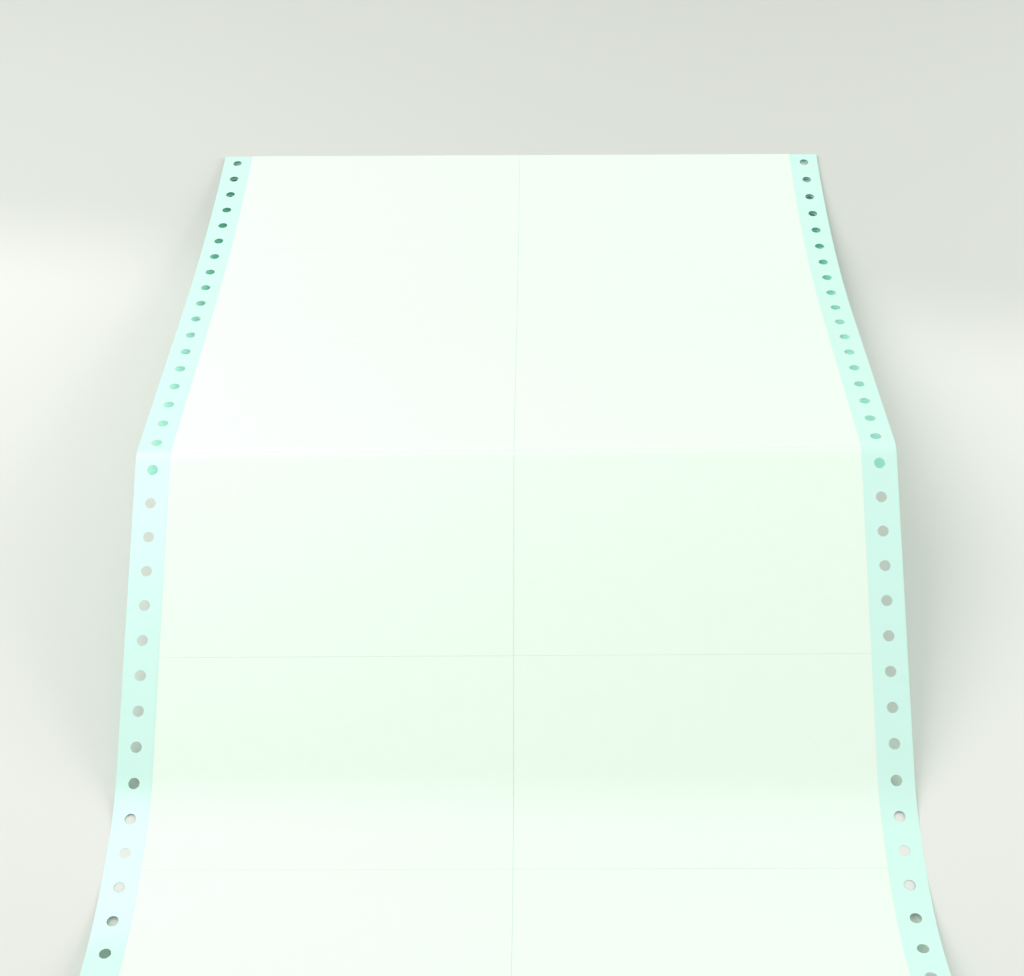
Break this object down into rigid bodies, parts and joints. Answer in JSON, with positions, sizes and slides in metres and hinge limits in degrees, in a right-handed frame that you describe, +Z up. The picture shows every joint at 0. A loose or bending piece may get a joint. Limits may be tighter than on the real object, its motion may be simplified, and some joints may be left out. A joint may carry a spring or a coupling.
{
  "type": "continuous label sheet",
  "caption": "Fan-fold length of pin-feed label stock: white labels butted on a pale green liner with feed holes along both margins, lying as a low tent with a third form folded back under the far one.",
  "frame": {"origin": "on the table, under the middle of the sheet's box", "axes": "+X to the right across the sheet, +Y away from the reader along the feed direction, +Z up"},
  "size_m": [0.2794, 0.439, 0.0528],
  "materials": {
    "liner": "silicone-coated release paper, smooth and glossy, pale green",
    "label": "matt white face paper"
  },
  "bodies": {
    "root": {"liner": "liner", "far_label_row_1_column_1": "label", "far_label_row_1_column_2": "label", "far_label_row_2_column_1": "label", "far_label_row_2_column_2": "label", "far_label_row_3_column_1": "label", "far_label_row_3_column_2": "label", "near_label_row_1_column_1": "label", "near_label_row_1_column_2": "label", "near_label_row_2_column_1": "label", "near_label_row_2_column_2": "label", "near_label_row_3_column_1": "label", "near_label_row_3_column_2": "label", "under_label_row_1_column_1": "label", "under_label_row_1_column_2": "label", "under_label_row_2_column_1": "label", "under_label_row_2_column_2": "label", "under_label_row_3_column_1": "label", "under_label_row_3_column_2": "label"}
  },
  "joints": []
}
